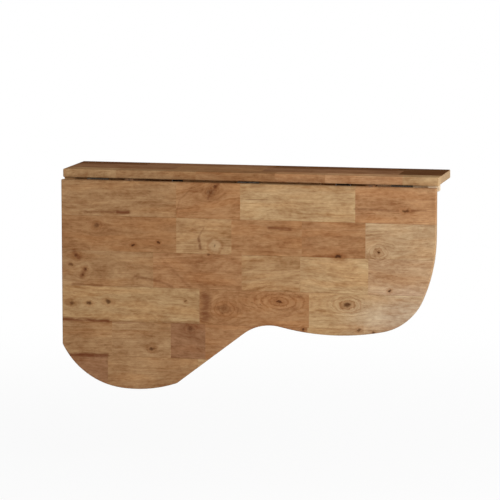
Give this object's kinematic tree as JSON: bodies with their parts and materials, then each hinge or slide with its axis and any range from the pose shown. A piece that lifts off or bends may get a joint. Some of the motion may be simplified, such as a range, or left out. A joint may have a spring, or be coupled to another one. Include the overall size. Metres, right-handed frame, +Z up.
{
  "type": "wall mounted drop leaf table",
  "caption": "Wall shelf with a hinged drop leaf of curved outline on a wooden wall frame; folding steel brackets swing out to prop the raised leaf level as a table.",
  "frame": {"origin": "centre of the rectangle of wall screw holes, on the wall rail's back face", "axes": "+X right along the wall as seen from the room, +Y into the wall, +Z up"},
  "size_m": [0.9, 0.2035, 0.5194],
  "materials": {
    "rubberwood": "satin lacquer",
    "dowel_wood": "bare",
    "hinge_steel": "satin",
    "pin_steel": "satin",
    "bracket_steel": "satin",
    "rubber": "matte"
  },
  "bodies": {
    "wall_unit": {"batten_left": "rubberwood", "batten_middle": "rubberwood", "batten_right": "rubberwood", "bracket_left_arm_pin": "pin_steel", "bracket_left_plate_screws": "pin_steel", "bracket_left_prop_bushes": "pin_steel", "bracket_left_prop_pin": "pin_steel", "bracket_left_wall_plate": "bracket_steel", "bracket_right_arm_pin": "pin_steel", "bracket_right_plate_screws": "pin_steel", "bracket_right_prop_bushes": "pin_steel", "bracket_right_prop_pin": "pin_steel", "bracket_right_wall_plate": "bracket_steel", "bumper_left": "rubber", "bumper_right": "rubber", "corbel_dowels": "dowel_wood", "corbel_left": "rubberwood", "corbel_right": "rubberwood", "end_block_left": "rubberwood", "end_block_right": "rubberwood", "hinge_left_pin": "hinge_steel", "hinge_left_shelf_plate": "hinge_steel", "hinge_middle_pin": "hinge_steel", "hinge_middle_shelf_plate": "hinge_steel", "hinge_right_pin": "hinge_steel", "hinge_right_shelf_plate": "hinge_steel", "hinge_shelf_screws": "hinge_steel", "rail_dowels": "dowel_wood", "shelf_board": "rubberwood", "stile_dowels": "dowel_wood", "stile_left": "rubberwood", "stile_right": "rubberwood", "wall_rail": "rubberwood"},
    "leaf": {"drop_leaf": "rubberwood", "hinge_leaf_screws": "hinge_steel", "hinge_left_leaf_plate": "hinge_steel", "hinge_middle_leaf_plate": "hinge_steel", "hinge_right_leaf_plate": "hinge_steel"},
    "arm_left": {"bracket_left_arm": "bracket_steel", "bracket_left_catch": "bracket_steel", "bracket_left_tip_pad": "rubber"},
    "arm_right": {"bracket_right_arm": "bracket_steel", "bracket_right_catch": "bracket_steel", "bracket_right_tip_pad": "rubber"},
    "prop_left": {"bracket_left_prop": "bracket_steel", "bracket_left_prop_head": "pin_steel"},
    "prop_right": {"bracket_right_prop": "bracket_steel", "bracket_right_prop_head": "pin_steel"}
  },
  "joints": [
    {"name": "leaf_fold", "type": "hinge", "parent": "wall_unit", "child": "leaf", "pos_m": [0, -0.1805, 0.032], "axis": [-1, 0, 0], "range_deg": [0, 90]},
    {"name": "arm_left_swing", "type": "hinge", "parent": "wall_unit", "child": "arm_left", "pos_m": [-0.2, -0.037, 0.02], "axis": [-1, 0, 0], "range_deg": [0, 90]},
    {"name": "prop_left_swing", "type": "hinge", "parent": "wall_unit", "child": "prop_left", "pos_m": [-0.2, -0.027, -0.09], "axis": [-1, 0, 0], "range_deg": [0, 128.11]},
    {"name": "arm_right_swing", "type": "hinge", "parent": "wall_unit", "child": "arm_right", "pos_m": [0.2, -0.037, 0.02], "axis": [-1, 0, 0], "range_deg": [0, 90]},
    {"name": "prop_right_swing", "type": "hinge", "parent": "wall_unit", "child": "prop_right", "pos_m": [0.2, -0.027, -0.09], "axis": [-1, 0, 0], "range_deg": [0, 128.11]}
  ],
  "couplings": [
    {"joint": "arm_left_swing", "follows": "leaf_fold", "ratio": 1},
    {"joint": "prop_left_swing", "follows": "leaf_fold", "ratio": 1.4233},
    {"joint": "arm_right_swing", "follows": "leaf_fold", "ratio": 1},
    {"joint": "prop_right_swing", "follows": "leaf_fold", "ratio": 1.4233}
  ]
}
